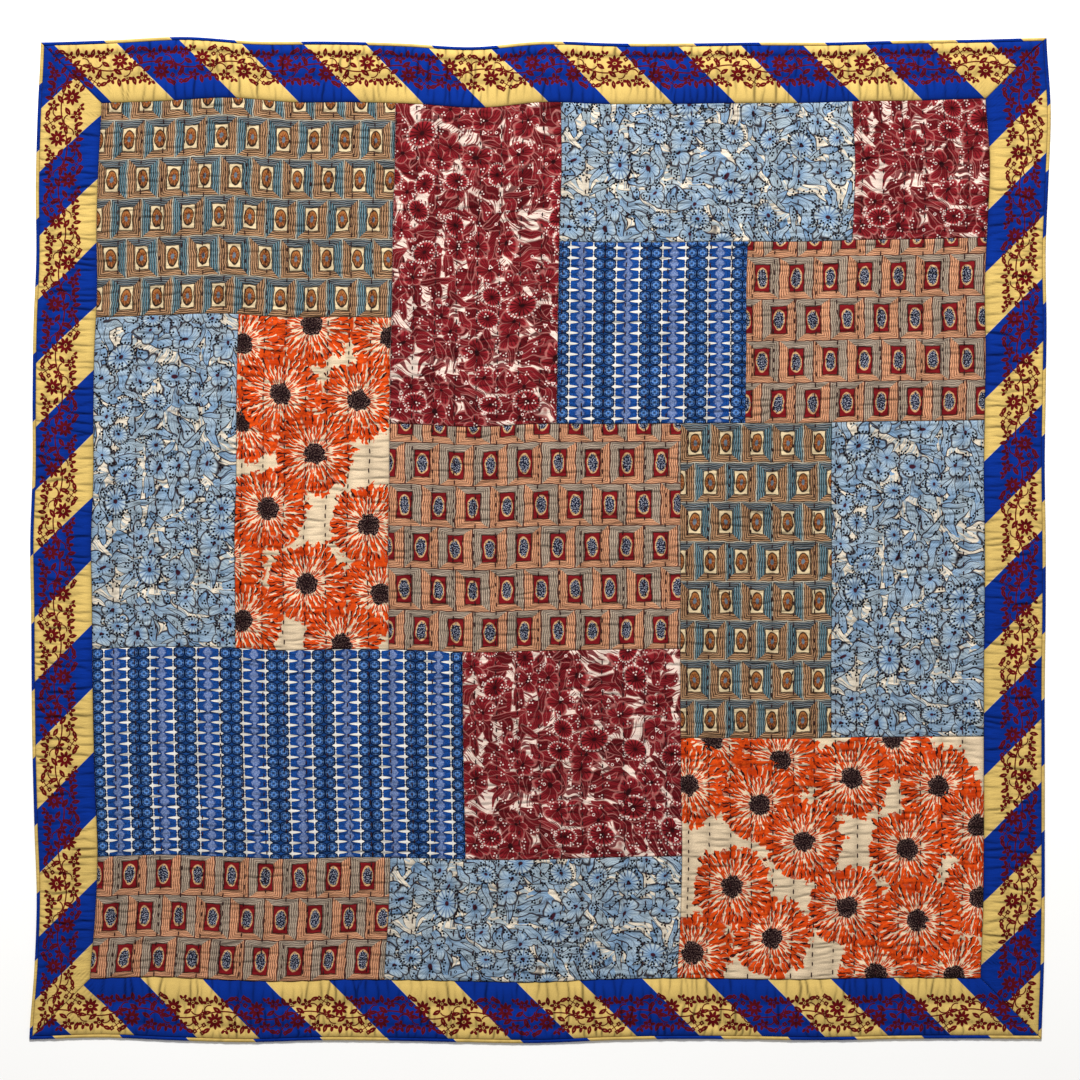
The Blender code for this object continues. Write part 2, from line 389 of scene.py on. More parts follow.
def cotton(name, draw, fade=0.10, grain=0.16, streak=(0.035, 0.16, 1)):
    """A printed cotton material, with draw giving the colour of its print."""
    material = bpy.data.materials.new(name)
    material.use_nodes = True
    tree = material.node_tree
    tree.nodes.clear()
    add = partial(put, tree)
    place = add("Attribute", attribute_name="cloth_mm", take="Vector")
    colour = draw(add, place)
    relief = add("Attribute", attribute_name="relief_mm", take="Fac")
    from_row = add("Attribute", attribute_name="from_row_mm", take="Fac")
    from_seam = add("Attribute", attribute_name="from_seam_mm", take="Fac")
    broad = add("TexNoise 2D", place, 1 / FADE_SIZE, 2.0)
    fine = add("TexNoise 2D", place, 1 / GRAIN_SIZE, 1.0, 0.6)
    worn = add("MapRange", broad, 0.3, 0.7, 1 - fade, 1 + fade)
    spotted = add("MapRange", fine, 0.3, 0.7, 1 - grain, 1 + grain)
    # Painted shade: the colour is darkened in the troughs of the puckers, near each stitch row and along
    # each seam, where shade falls.
    painted_crease_shade = add("MapRange", relief, -1.6, 0.4, 0.42, 1.07)
    painted_row_shade = add("MapRange", from_row, 0.0, 12.0, 0.86, 1.03)
    painted_seam_shade = add("MapRange", from_seam, 0.0, 2.5, 0.70, 1.0)
    # The tone takes every ink down by the same share and adds the broad fading, the grain and the painted
    # shade.
    tone = worn
    for share in (INK_DEPTH, spotted, painted_crease_shade, painted_row_shade, painted_seam_shade):
        tone = add("Math MULTIPLY", tone, share)
    colour = add("VectorMath SCALE", colour, tone)
    threads = add("VectorMath SCALE", place, 2 * math.pi / THREAD_SPACING)
    threads = add("VectorMath SINE", threads)
    warp, weft, _ = add("SeparateXYZ", threads, take=None)
    weave = add("Math MULTIPLY", warp, weft)
    streaks = add("VectorMath MULTIPLY", place, streak)
    crumple = add("TexNoise 2D", streaks, 1.0, 2.0, 0.5, 2.0, 0.3)
    normal = add("Bump", 0.35, 0.0002, None, weave)
    normal = add("Bump", 0.4, 0.0022, None, crumple, normal)
    rough = add("MapRange", fine, 0.2, 0.8, COTTON_ROUGHNESS - 0.06, COTTON_ROUGHNESS + 0.06)
    shader = tree.nodes.new("ShaderNodeBsdfPrincipled")
    shader.inputs["IOR"].default_value = COTTON_IOR
    shader.inputs["Specular IOR Level"].default_value = 0.04
    shader.inputs["Sheen Weight"].default_value = 0.04
    shader.inputs["Sheen Roughness"].default_value = 0.45
    tree.links.new(colour, shader.inputs["Base Color"])
    tree.links.new(rough, shader.inputs["Roughness"])
    tree.links.new(normal, shader.inputs["Normal"])
    output = tree.nodes.new("ShaderNodeOutputMaterial")
    tree.links.new(shader.outputs["BSDF"], output.inputs["Surface"])
    print("cotton", name, "has", len(tree.nodes), "nodes")
    return material


# %% [markdown]
# ## Print one: windows in striped frames
#
# Each window has four striped strips round it with mitred corners, cool ones on two
# sides and warm ones on the other two, as in the log cabin blocks of patchwork. The
# windows are set like bricks, and every other row is mirrored. Nothing here needs a
# table: the plan is folded into one tile by wrapping its two coordinates, and the strip
# is found by comparing how far a point is from the window across and up.

# %% Windows in striped frames
def frames(add, place, tile, window, inks, medallion):
    """Framed windows, in tiles of a width and height, each with a medallion inside."""
    width, height = tile
    half_w, half_h = window
    shaky = add("TexNoise 2D", place, 0.04, 2.0, take="Color")
    place = add("VectorMath MULTIPLY_ADD", shaky, (6.0, 6.0, 0), place)
    x, y, _ = add("SeparateXYZ", place, take=None)
    wobble = add("TexNoise 2D", place, 0.05, 1.0)
    row = add("Math FLOOR", add("Math DIVIDE", y, height))
    odd = add("Math FLOORED_MODULO", row, 2.0)
    x = add("Math MULTIPLY_ADD", odd, width / 2, x)
    u = add("Math WRAP", x, width / 2, -width / 2)
    u = add("Math MULTIPLY", u, add("MapRange", odd, 0, 1, 1, -1))
    v = add("Math SUBTRACT", add("Math WRAP", y, height, 0.0), height / 2)
    a = add("MapRange", add("Math ABSOLUTE", u), half_w, width / 2, 0, 1, clamp=False)
    b = add("MapRange", add("Math ABSOLUTE", v), half_h, height / 2, 0, 1, clamp=False)
    strip = add("Math MAXIMUM", a, b)
    upright = add("Math GREATER_THAN", a, b)
    on_left = add("Math LESS_THAN", u, 0.0)
    on_top = add("Math GREATER_THAN", v, 0.0)
    cool_side = add("Mix FLOAT", upright, on_top, on_left)
    cool = add("Mix RGBA", upright, inks["cool_flat"], inks["cool_upright"])
    warm = add("Mix RGBA", upright, inks["warm_flat"], inks["warm_upright"])
    colour = add("Mix RGBA", cool_side, warm, cool)
    drawn = add("Math MULTIPLY_ADD", wobble, 0.16, strip)
    lines = add("Math FRACT", add("Math MULTIPLY", drawn, inks["lines"]))
    colour = print_over(
        add, colour,
        (lines, 0.34, 0.52, inks["line_strength"], 0, inks["line"]),
        (lines, 0.62, 0.85, 0, 0.30, inks["pale"]),
        (strip, 0.92, 0.97, 0, inks["edge_strength"], inks["edge"]),
        (strip, 0.08, 0.14, 1, 0, inks["line"]),
        (strip, -0.02, 0.02, 1, 0, inks["window"]))
    return medallion(add, colour, u, v, place)


def rosette(add, colour, u, v, place):
    """A small rust-coloured flower in an oval, with a slate core."""
    oval = add("CombineXYZ", add("Math DIVIDE", u, 12.0), add("Math DIVIDE", v, 21.0), 0.0)
    _, y, away, angle = polar(add, oval)
    petals = add("Math COSINE", add("Math MULTIPLY", angle, 7.0))
    past = add("Math SUBTRACT", away, add("Math MULTIPLY_ADD", petals, 0.15, 0.70))
    shade = add("MapRange", add("Math MULTIPLY_ADD", y, -0.5, away), 0.2, 1.3, 1, 0)
    petal = add("MapRange", past, -0.08, 0.02, 1, 0)
    vein = add("Math MULTIPLY", add("MapRange", petals, 0.5, 1.0, 0, 0.5), petal)
    flower = add("Mix RGBA", shade, "#2B211E", "#B5733C")
    flower = add("Mix RGBA", petal, flower, "#7A3E1C")
    flower = add("Mix RGBA", vein, flower, "#CF9058")
    flower = print_over(add, flower, (away, 0.26, 0.34, 1, 0, "#66717C"),
                        (away, 0.80, 0.88, 0, 0.9, "#2B1B16"))
    return print_over(add, colour, (away, 0.96, 1.04, 1, 0, flower))


def posy(add, colour, u, v, place):
    """A pale oval with a posy of small navy flowers flecked with white."""
    oval = add("CombineXYZ", add("Math DIVIDE", u, 12.5), add("Math DIVIDE", v, 23.0), 0.0)
    away = add("VectorMath LENGTH", oval, take="Value")
    ragged = add("TexNoise 2D", place, 0.28, 2.0)
    bunch = add("Math MULTIPLY_ADD", ragged, 0.55, away)
    flecks = add("TexVoronoi 2D", place, 0.30)
    flower = add("Mix RGBA", add("MapRange", flecks, 0.22, 0.36, 1, 0), "#1A1E34", "#A3A5B2")
    return print_over(add, colour, (away, 0.94, 1.02, 1, 0, "#D9AE78"),
                      (bunch, 1.07, 1.15, 1, 0, flower))


TEAL_INKS = {
    "cool_upright": "#527E8C", "cool_flat": "#5E6F78", "warm_upright": "#AE805A",
    "warm_flat": "#B88A62", "line": "#1A0C08", "pale": "#C0A68C", "edge": "#C2BDAA",
    "window": "#E2CAA0", "lines": 4.3, "line_strength": 0.92, "edge_strength": 0.75,
}
SALMON_INKS = {
    "cool_upright": "#A89A88", "cool_flat": "#A69A8A", "warm_upright": "#DA976F",
    "warm_flat": "#DA9A72", "line": "#36120F", "pale": "#EEC29E", "edge": "#431212",
    "window": "#7E161C", "lines": 5.0, "line_strength": 0.75, "edge_strength": 0.8,
}

teal_frames = cotton("printed_cotton_teal_frames", partial(
    frames, tile=(67.0, 86.0), window=(13.5, 24.5), inks=TEAL_INKS, medallion=rosette))
salmon_frames = cotton("printed_cotton_salmon_frames", partial(
    frames, tile=(74.0, 91.0), window=(15.0, 28.5), inks=SALMON_INKS, medallion=posy))

# %% [markdown]
# ## Print two: a dense floral in two colourways
#
# Leaves and petals crowd the whole ground, with ribbed round blooms over them and dots
# in threes. The scatter comes from Voronoi cells, which hand every point the middle of
# the nearest cell. Each cell gets one leaf or one flower, turned by the cell's random
# number and drawn in its own plan: a leaf is where the width left over after the square
# of the length runs out. Layers go down from large to small, as a block printer would
# lay them. The plan is bent by noise first, so that no two leaves match.

# %% Dense floral, ground and leaves
def scattered(add, place, spacing, shift, randomness=0.85):
    """The plan of the nearest scattered motif in millimetres, and its random numbers."""
    place = add("VectorMath ADD", place, (shift, shift * 0.37, 0))
    _, cell, middle = add("TexVoronoi 2D", place, 1 / spacing, 0.0, 0.5, 2.0, randomness, take=None)
    r, g, b = add("SeparateColor", cell, take=None)
    local = add("VectorMath SUBTRACT", place, middle)
    turn = add("Math MULTIPLY", g, 2 * math.pi)
    return add("VectorRotate", local, (0, 0, 0), turn, rotation_type="Z_AXIS"), r, b


def undergrowth(add, place, inks):
    """The pale ground with long stems across it, and thickets where it is nearly covered."""
    local, _, _ = scattered(add, place, 96.0, 400.0)
    streaked = add("VectorMath MULTIPLY", local, (1 / 60, 1 / 5, 0))
    stems = add("TexNoise 2D", streaked, 1.0, 1.0, 0.5, 2.0, 0.2)
    rim = apart(add, stems, 0.555)
    dense = add("TexNoise 2D", place, 1 / 48, 2.0, 0.6, 2.0, 0.4)
    stems = add("MapRange", stems, 0.55, 0.57, 0, inks["stem_strength"])
    colour = add("Mix RGBA", stems, inks["ground"], inks["stem"])
    return print_over(add, colour, (rim, 0.010, 0.022, inks["stem_rim"], 0, inks["outline"]),
                      (dense, inks["thicket"], inks["thicket"] + 0.02, 0, 0.92, inks["deep"]))


def leaves(add, place, colour, inks, spacing, half_length, half_width, shift):
    """One layer of bent, pointed leaves with ribs and an outline."""
    local, r, b = scattered(add, place, spacing, shift)
    x, y, _ = add("SeparateXYZ", local, take=None)
    x = add("Math DIVIDE", x, half_length)
    bend = add("MapRange", b, 0, 1, -0.55 * half_width, 0.55 * half_width)
    square = add("Math MULTIPLY", x, x)
    y = add("Math MULTIPLY_ADD", bend, square, y)
    aside = add("Math DIVIDE", add("Math ABSOLUTE", y), half_width)
    aside = add("Math MULTIPLY", aside, add("Math MULTIPLY_ADD", x, 0.45, 1.0))
    outward = add("Math ADD", square, aside)
    slope = add("Math MULTIPLY", x, -0.8 * half_length)
    ribs = add("Math MULTIPLY_ADD", aside, 1.2 * half_width, slope)
    ribs = add("Math SINE", add("Math MULTIPLY", ribs, 1.15))
    inner = 1 - inks["edge_mm"] / half_width
    leaf = add("Mix RGBA", add("MapRange", x, -0.9, 0.9, 0, 1), inks["deep"], inks["mid"])
    leaf = print_over(
        add, leaf,
        (r, 0.5, 0.9, 0, 0.7, inks["light"]),
        (ribs, 0.2, 0.9, 0, inks["rib"], inks["vein"]),
        (aside, 0.04, 0.10, inks["midrib"], 0, inks["outline"]),
        (outward, inner - 0.03, inner + 0.03, 0, inks["outline_strength"], inks["outline"]))
    return print_over(add, colour, (outward, 0.98, 1.04, 1, 0, leaf))


# %% Dense floral, flowers and dots
BEADS = 25


def florets(add, place, colour, inks, spacing, radius, shift):
    """Small five-petalled flowers."""
    local, r, _ = scattered(add, place, spacing, shift)
    _, _, away, angle = polar(add, add("VectorMath SCALE", local, 1 / radius))
    lobes, past = past_petals(add, away, angle, 0.6, 0.42)
    rays = add("Math SINE", add("Math MULTIPLY", angle, 20.0))
    petal = add("Mix RGBA", away, inks["deep"], inks["mid"])
    petal = print_over(
        add, petal,
        (rays, 0.1, 0.9, 0, inks["rib"], inks["vein"]),
        (lobes, 0.05, 0.16, inks["outline_strength"], 0, inks["outline"]),
        (past, -0.15, -0.07, 0, inks["outline_strength"], inks["outline"]),
        (away, 0.12, 0.18, 1, 0, inks["heart"]))
    shown = where_both(add, (past, -0.01, 0.05, 1, 0), (r, 0.25, 0.26, 0, 1))
    return add("Mix RGBA", shown, colour, petal)


def blooms(add, place, colour, inks):
    """Ribbed round blooms with a rim of dots."""
    local, r, b = scattered(add, place, 76.0, 900.0, 0.8)
    flat = add("VectorMath MULTIPLY", local, (1 / 35, 1 / 26, 0))
    flat = add("VectorMath SCALE", flat, add("MapRange", b, 0, 1, 1.0, 1.6))
    _, _, away, angle = polar(add, flat)
    ribs = add("Math SINE", add("Math MULTIPLY", angle, 15.0))
    disc = add("Mix RGBA", add("MapRange", away, 0.2, 0.9, 0, 1), inks["deep"], inks["mid"])
    disc = print_over(
        add, disc,
        (ribs, 0.1, 0.8, 0, inks["bloom_rib"], inks["vein"]),
        (away, 0.14, 0.20, 1, 0, inks["heart"]),
        (away, 0.90, 0.94, 0, inks["outline_strength"], inks["outline"]))
    shown = add("MapRange", r, inks["few"], inks["few"] + 0.01, 0, 1)
    cover = add("Math MULTIPLY", add("MapRange", away, 0.97, 1.02, 1, 0), shown)
    colour = add("Mix RGBA", cover, colour, disc)
    beside = add("Math WRAP", angle, math.pi / BEADS, -math.pi / BEADS)
    bead = add("CombineXYZ", beside, add("Math SUBTRACT", away, 1.08), 0.0)
    bead = add("VectorMath LENGTH", bead, take="Value")
    size = inks["bead_size"]
    beads = add("Math MULTIPLY", add("MapRange", bead, size - 0.015, size + 0.015, 1, 0), shown)
    return add("Mix RGBA", beads, colour, inks["bead"])


def dots(add, place, colour, inks):
    """Dots in threes, and small rings."""
    local, r, b = scattered(add, place, 21.0, 120.0, 0.9)
    _, _, away, angle = polar(add, local)
    third = add("Math WRAP", angle, math.pi / 3, -math.pi / 3)
    beside = add("Math MULTIPLY", third, away)
    near = add("CombineXYZ", beside, add("Math SUBTRACT", away, 3.9), 0.0)
    near = add("VectorMath LENGTH", near, take="Value")
    dot, bare = inks["dot"], inks["bare"]
    threes = where_both(add, (near, dot - 0.3, dot + 0.3, 1, 0), (r, bare, bare + 0.01, 0, 1))
    ring = where_both(add, (apart(add, away, 2.6), 0.5, 1.0, 1, 0), (b, 0.12, 0.13, 1, 0))
    marks = add("Math MAXIMUM", threes, ring)
    return add("Mix RGBA", marks, colour, inks["bead"])


def bloomy(add, place, inks):
    """The dense floral in one colourway."""
    bend = add("TexNoise 2D", place, 1 / 60, 1.0, take="Color")
    bent = add("VectorMath MULTIPLY_ADD", bend, (40, 40, 0), place)
    colour = undergrowth(add, bent, inks)
    colour = leaves(add, bent, colour, inks, 78.0, 60.0, 21.0, 0.0)
    colour = leaves(add, bent, colour, inks, 60.0, 44.0, 12.5, 230.0)
    colour = leaves(add, bent, colour, inks, 47.0, 33.0, 8.5, 350.0)
    colour = florets(add, bent, colour, inks, 78.0, 30.0, 610.0)
    colour = blooms(add, place, colour, inks)
    return dots(add, place, colour, inks)


BURGUNDY_INKS = {
    "deep": "#580C12", "mid": "#9A242C", "light": "#4E0A10", "vein": "#38060A", "rib": 0.65,
    "ground": "#F4DCCC", "stem": "#701620", "stem_strength": 0.94, "outline": "#C8827A",
    "outline_strength": 0.55, "midrib": 0.2, "heart": "#2C0A0E", "bead": "#ECD2C8",
    "thicket": 0.68, "bloom_rib": 0.9, "edge_mm": 1.8, "bare": 0.50, "few": 0.66, "dot": 1.7,
    "stem_rim": 0.5, "bead_size": 0.07,
}
SKY_INKS = {
    "deep": "#729AC0", "mid": "#C0CCCE", "light": "#AEBCC0", "vein": "#586F92", "rib": 0.5,
    "ground": "#ECDEC8", "stem": "#A6B8C2", "stem_strength": 0.85, "outline": "#2C2026",
    "outline_strength": 0.95, "midrib": 0.45, "heart": "#3C1826", "bead": "#0C0C12",
    "thicket": 0.68, "bloom_rib": 0.9, "edge_mm": 2.1, "bare": 0.25, "few": 0.58, "dot": 2.3,
    "stem_rim": 0.8, "bead_size": 0.085,
}
burgundy_floral = cotton("printed_cotton_burgundy_floral", partial(bloomy, inks=BURGUNDY_INKS))
sky_floral = cotton("printed_cotton_sky_floral", partial(bloomy, inks=SKY_INKS))

# %% [markdown]
# ## Print three: columns of roundels and stars
#
# A small geometric repeat, 100 mm wide and 23 mm high, mirrored left and right: paired
# roundels, a row of cream stars on each side, and a greyish band between scallops. A
# mirrored print only has to be drawn in half, because the distance from the column's
# middle line is the same on both sides.

# %% Columns of roundels and stars
COLUMN_WIDTH = 100.0
COLUMN_STEP = 23.2
STAR_LINE = 25.2


def columns(add, place):
    """The blue column print."""
    x, y, _ = add("SeparateXYZ", place, take=None)
    u = add("Math ABSOLUTE", add("Math WRAP", x, COLUMN_WIDTH / 2, -COLUMN_WIDTH / 2))
    v = add("Math ABSOLUTE", add("Math WRAP", y, COLUMN_STEP / 2, -COLUMN_STEP / 2))
    between = add("Math SUBTRACT", COLUMN_STEP / 2, v)
    mottle = add("TexNoise 2D", place, 0.32, 2.0, 0.6)
    mottle = add("MapRange", mottle, 0.3, 0.7, 0, 1)

    wave = add("Math COSINE", add("Math MULTIPLY", v, 2 * math.pi / COLUMN_STEP))
    band_edge = add("Math MULTIPLY_ADD", wave, 3.4, u)
    band_edge = add("Math MULTIPLY_ADD", mottle, 2.2, band_edge)
    rim = apart(add, band_edge, 43.6)
    royal = add("Mix RGBA", mottle, "#0E326E", "#1C52A2")
    grey = add("Mix RGBA", mottle, "#42629A", "#8A98BE")
    colour = print_over(add, royal, (band_edge, 43.0, 47.0, 0, 1, grey),
                        (rim, 0.5, 1.6, 0.4, 0, "#0A1F55"))
    cut = where_both(add, (v, 9.4, 10.6, 0, 0.85), (u, 41, 43, 1, 0))
    colour = add("Mix RGBA", cut, colour, "#0A1B4A")

    du = add("Math SUBTRACT", u, 11.6)
    plan = add("CombineXYZ", add("Math DIVIDE", du, 11.0), add("Math DIVIDE", v, 10.0), 0.0)
    across, up, away, angle = polar(add, plan)
    squared = add("Math MAXIMUM", add("Math ABSOLUTE", across), up)
    away = add("Math MULTIPLY", add("Math ADD", away, squared), 0.5)
    rings = add("Math SINE", add("Math MULTIPLY", away, 11.5))
    spokes = add("Math COSINE", add("Math MULTIPLY", angle, 4.0))
    hoop = apart(add, away, 1.0)
    disc = add("Mix RGBA", mottle, "#245CA8", "#6494D2")
    disc = print_over(add, disc, (rings, -0.2, 0.6, 0, 0.95, "#08204E"),
                      (spokes, 0.5, 0.95, 0, 0.35, "#8FB2DA"))

    ds = add("Math SUBTRACT", u, STAR_LINE)
    aside = add("Math ABSOLUTE", ds)
    level = add("Math MAXIMUM", add("Math DIVIDE", ds, 18.5), add("Math DIVIDE", ds, -7.0))
    level = add("Math POWER", level, 1.4)
    thick = add("Math POWER", add("Math DIVIDE", between, 3.1), 1.4)
    steep = add("Math ADD", add("Math DIVIDE", between, 10.0), add("Math DIVIDE", aside, 2.5))
    star = add("Math MINIMUM", add("Math ADD", thick, level), steep)
    beads = add("Math ADD", aside, v)
    return print_over(
        add, colour,
        (u, 22.0, 23.0, 1, 0, "#1B4684"),
        (away, 0.96, 1.03, 1, 0, disc),
        (hoop, 0.09, 0.19, 0.95, 0, "#040E2A"),
        (star, 1.12, 1.5, 1, 0, "#08163A"),
        (star, 0.98, 1.14, 1, 0, "#E8E4DC"),
        (beads, 1.6, 2.4, 1, 0, "#E4DCCE"))


blue_columns = cotton("printed_cotton_blue_columns", columns)

# %% [markdown]
# ## Print four: large orange flowers
#
# Shaggy daisies jostle on a cream ground. Their middles come from a short table, and
# the last one in the table lies in front. Round each middle the plan is rolled out, with
# the angle running across and the distance running up. Each Voronoi cell of that rolled
# plan gets one petal, so that petals come out long and point away from the middle. Cream
# slits show between the inner petals and dark strokes lie along the sides of the outer
# ones. Where two flowers overlap, the gaps between the tips of the front one show the
# one behind.

# %% Large orange flowers
FLOWER_REACH = 106.0
PETALS_ROUND = 48.0
PETAL_LENGTH = 21.0
LAST_PETAL = 4.25
FAR_AWAY = 9999.0
NARROW_SPOTS = (
    (160, 705), (330, 680), (10, 660), (-20, 190), (15, 60), (315, 120), (15, 490), (290, 270),
    (95, 555), (70, 305), (155, 145), (265, 540), (230, 10), (170, 425),
)
WIDE_SPOTS = (
    (70, 520), (215, 475), (460, 520), (560, 415), (650, 175), (645, 330), (15, 420), (30, 55),
    (430, 10), (600, 5), (370, 435), (200, 90), (490, 280), (110, 200), (170, 380), (515, 125),
    (265, 300), (360, 155),
)


def foremost(add, place, middles, ragged):
    """The place in the plan of the flower in front, and how far off the one behind it is."""
    best = add("VectorMath SUBTRACT", place, (FAR_AWAY, FAR_AWAY, 0))
    least, behind = FAR_AWAY, FAR_AWAY
    for x, y in middles:
        local = add("VectorMath SUBTRACT", place, (x, y, 0))
        local = add("VectorMath SCALE", local, 1 / FLOWER_REACH)
        away = add("VectorMath LENGTH", local, take="Value")
        front = add("Math LESS_THAN", away, ragged)
        best = add("Mix VECTOR", front, best, local)
        behind = add("Mix FLOAT", front, behind, least)
        least = add("Mix FLOAT", front, least, away)
    return best, behind


def sunbursts(add, place, middles):
    """Shaggy flowers round the given middles."""
    uneven = add("TexNoise 2D", place, 1 / 12, 1.0)
    ragged = add("MapRange", uneven, 0.3, 0.7, 0.80, 0.98)
    front, behind = foremost(add, place, middles, ragged)
    _, _, away, angle = polar(add, front)
    across = add("Math MULTIPLY", angle, PETALS_ROUND / (2 * math.pi))
    sway = add("MapRange", uneven, 0.2, 0.8, -0.5, 0.5)
    across = add("Math MULTIPLY_ADD", sway, 0.5, across)
    up = add("Math MULTIPLY", away, FLOWER_REACH / PETAL_LENGTH)
    rolled = add("CombineXYZ", across, up, 0.0)
    _, cell, middle = add("TexVoronoi 2D", rolled, 1.0, 0.0, 0.5, 2.0, 0.85, take=None)
    r, g, b = add("SeparateColor", cell, take=None)
    beside, along, _ = add("SeparateXYZ", add("VectorMath SUBTRACT", rolled, middle), take=None)
    _, start, _ = add("SeparateXYZ", middle, take=None)
    along = add("Math DIVIDE", along, 0.68)
    narrow = add("Math MULTIPLY_ADD", along, 0.25, 1.0)
    side = add("Math DIVIDE", add("Math ABSOLUTE", beside), 0.54)
    side = add("Math DIVIDE", side, narrow)
    side = add("Math MULTIPLY", side, side)
    shape = add("Math MULTIPLY_ADD", along, along, side)
    inner = add("Math MULTIPLY_ADD", uneven, 0.5, away)
    between = add("Mix RGBA", add("MapRange", inner, 0.72, 0.98, 0, 0.95), "#F2D6B4", "#AC2E08")
    petal = add("Mix RGBA", r, "#C63A0A", "#E85012")
    stroke = where_both(add, (beside, 0.20, 0.26, 0, 1), (g, 0.14, 0.2, 0, 1))
    petal = add("Mix RGBA", stroke, petal, "#33100E")
    slit = where_both(add, (beside, -0.27, -0.32, 0, 1), (b, 0.42, 0.46, 0, 0.95))
    petal = add("Mix RGBA", slit, petal, "#F0D6B6")
    narrowing = add("MapRange", away, 0.28, 0.66, 0.50, 1.12)
    solid = add("Math SUBTRACT", shape, narrowing)
    inside = print_over(add, between, (solid, -0.04, 0.04, 1, 0, petal))
    tips = where_both(add, (start, LAST_PETAL, LAST_PETAL + 0.02, 1, 0), (shape, 0.98, 1.06, 1, 0))
    shrunk = add("Math MULTIPLY_ADD", uneven, 0.35, away)
    body = add("Math MAXIMUM", tips, add("MapRange", shrunk, 0.93, 0.95, 1, 0))
    body = add("Math MULTIPLY", body, add("MapRange", away, 1.06, 1.07, 1, 0))
    shaded = add("Mix RGBA", add("MapRange", uneven, 0.42, 0.58, 0, 1), "#B23008", "#E24E12")
    ground = print_over(add, "#E4CCAA", (behind, 0.84, 0.88, 1, 0, shaded))
    colour = add("Mix RGBA", body, ground, inside)
    speckle = add("TexVoronoi 2D", place, 0.27)
    speckle = where_both(add, (speckle, 0.16, 0.30, 1, 0), (away, 0.10, 0.26, 0.2, 0.9))
    heart = add("Mix RGBA", speckle, "#1D0C0F", "#C09A8C")
    edge = add("Math MULTIPLY_ADD", uneven, 0.14, away)
    return print_over(add, colour, (edge, 0.28, 0.30, 1, 0, heart))


orange_narrow = cotton("printed_cotton_orange_flowers_narrow", partial(sunbursts, middles=NARROW_SPOTS))
orange_wide = cotton("printed_cotton_orange_flowers_wide", partial(sunbursts, middles=WIDE_SPOTS))

# %% [markdown]
# ## The striped border and its vine
#
# The border is yellow and blue in slanted stripes, with a maroon flower vine printed
# over both colours along its middle. All four strips are the same cloth, cut so that
# the stripes start at different places, and the left one is stretched a little. A thin
# pale line shows where two colours of the print don't quite meet. The vine steps every
# 90 mm and is turned over at each step, so its flowers lie now on one side and now on
# the other. Its motifs are drawn once each: a pointed bloom, a star flower, a half
# flower, a leaf, a sprig of four buds and a curling stalk.

# %% Border stripes
STRIPE_SHARE = 0.5
YELLOW, BLUE = "#DCBB6B", "#062E8A"


def striped(add, place, start, period):
    """Yellow and blue stripes that slant across the strip."""
    x, y, _ = add("SeparateXYZ", place, take=None)
    slant = add("Math SUBTRACT", add("Math ADD", x, y), start)
    phase = add("Math WRAP", slant, period, 0.0)
    end = period * STRIPE_SHARE
    blue = where_both(add, (phase, 0, 1, 0, 1), (phase, end, end + 1, 1, 0))
    colour = add("Mix RGBA", blue, YELLOW, BLUE)
    beyond = apart(add, phase, end + 1.2)
    return print_over(add, colour, (beyond, 0.3, 1.3, 0.4, 0, "#DCD2BC")), blue


# %% Vine motifs
VINE_STEP = 90.0
VINE_MIDDLE = 57.0
STEM_HALF = 1.5
STEP_MARGIN = 22
BLOOM_SPOTS = ((25, -13, 12, 18.5),)
STAR_SPOTS = ((67, -25, 10, 13.5), (44, 24, 40, 13.0))
HALF_SPOTS = ((10, 24, 100, 14.0), (86, 0, 40, 13.5), (47, -30, -60, 12.0))
LEAF_SPOTS = (
    (30, 10, -35, 11.5), (70, 13, 75, 11), (56, -6, 150, 10.5), (6, -34, 30, 10.5),
    (27, 33, 100, 10), (84, -30, 70, 10.5), (61, 35, 20, 10), (8, 4, 200, 9),
)
SPRIG_SPOTS = ((81, 29, 10, 14.5),)
CURL_SPOTS = ((56, 12, 0, 12.5), (76, -12, 170, 13), (14, 8, 60, 12), (50, -14, 250, 13))


def nearest_turned(add, plans, spots):
    """The plan of the nearest motif on a pattern that turns over at each step."""
    best, least = None, None
    for x, y, turn, size in spots:
        well_inside = STEP_MARGIN < x < VINE_STEP - STEP_MARGIN
        if x >= VINE_STEP - STEP_MARGIN:
            x, y, turn = x - VINE_STEP, -y, -turn
        # The second plan is folded half a step on, so a motif near an end stays whole.
        local, away = own_plan(add, plans[0 if well_inside else 1], x, y, turn, size)
        if best is None:
            best, least = local, away
            continue
        nearer = add("Math LESS_THAN", away, least)
        best = add("Mix VECTOR", nearer, best, local)
        least = add("Math MINIMUM", away, least)
    return best


def turned_over(add, x, y, offset):
    """Fold the strip to one step of the vine, turning every other step over."""
    steps = add("Math DIVIDE", add("Math ADD", x, offset), VINE_STEP)
    steps = add("Math FLOOR", steps)
    odd = add("Math FLOORED_MODULO", steps, 2.0)
    folded_x = add("Math MULTIPLY_ADD", steps, -VINE_STEP, x)
    folded_y = add("Math MULTIPLY", add("Math MULTIPLY_ADD", odd, -2.0, 1.0), y)
    return add("CombineXYZ", folded_x, folded_y, 0.0)


def lobed(add, local):
    """Five rounded petals with a ring in the middle."""
    _, _, away, angle = polar(add, local)
    _, past = past_petals(add, away, angle, 1.4, 0.58)
    ring = apart(add, away, 0.19)
    return where_both(add, (past, -0.04, 0.04, 1, 0), (ring, 0.02, 0.07, 0, 1))


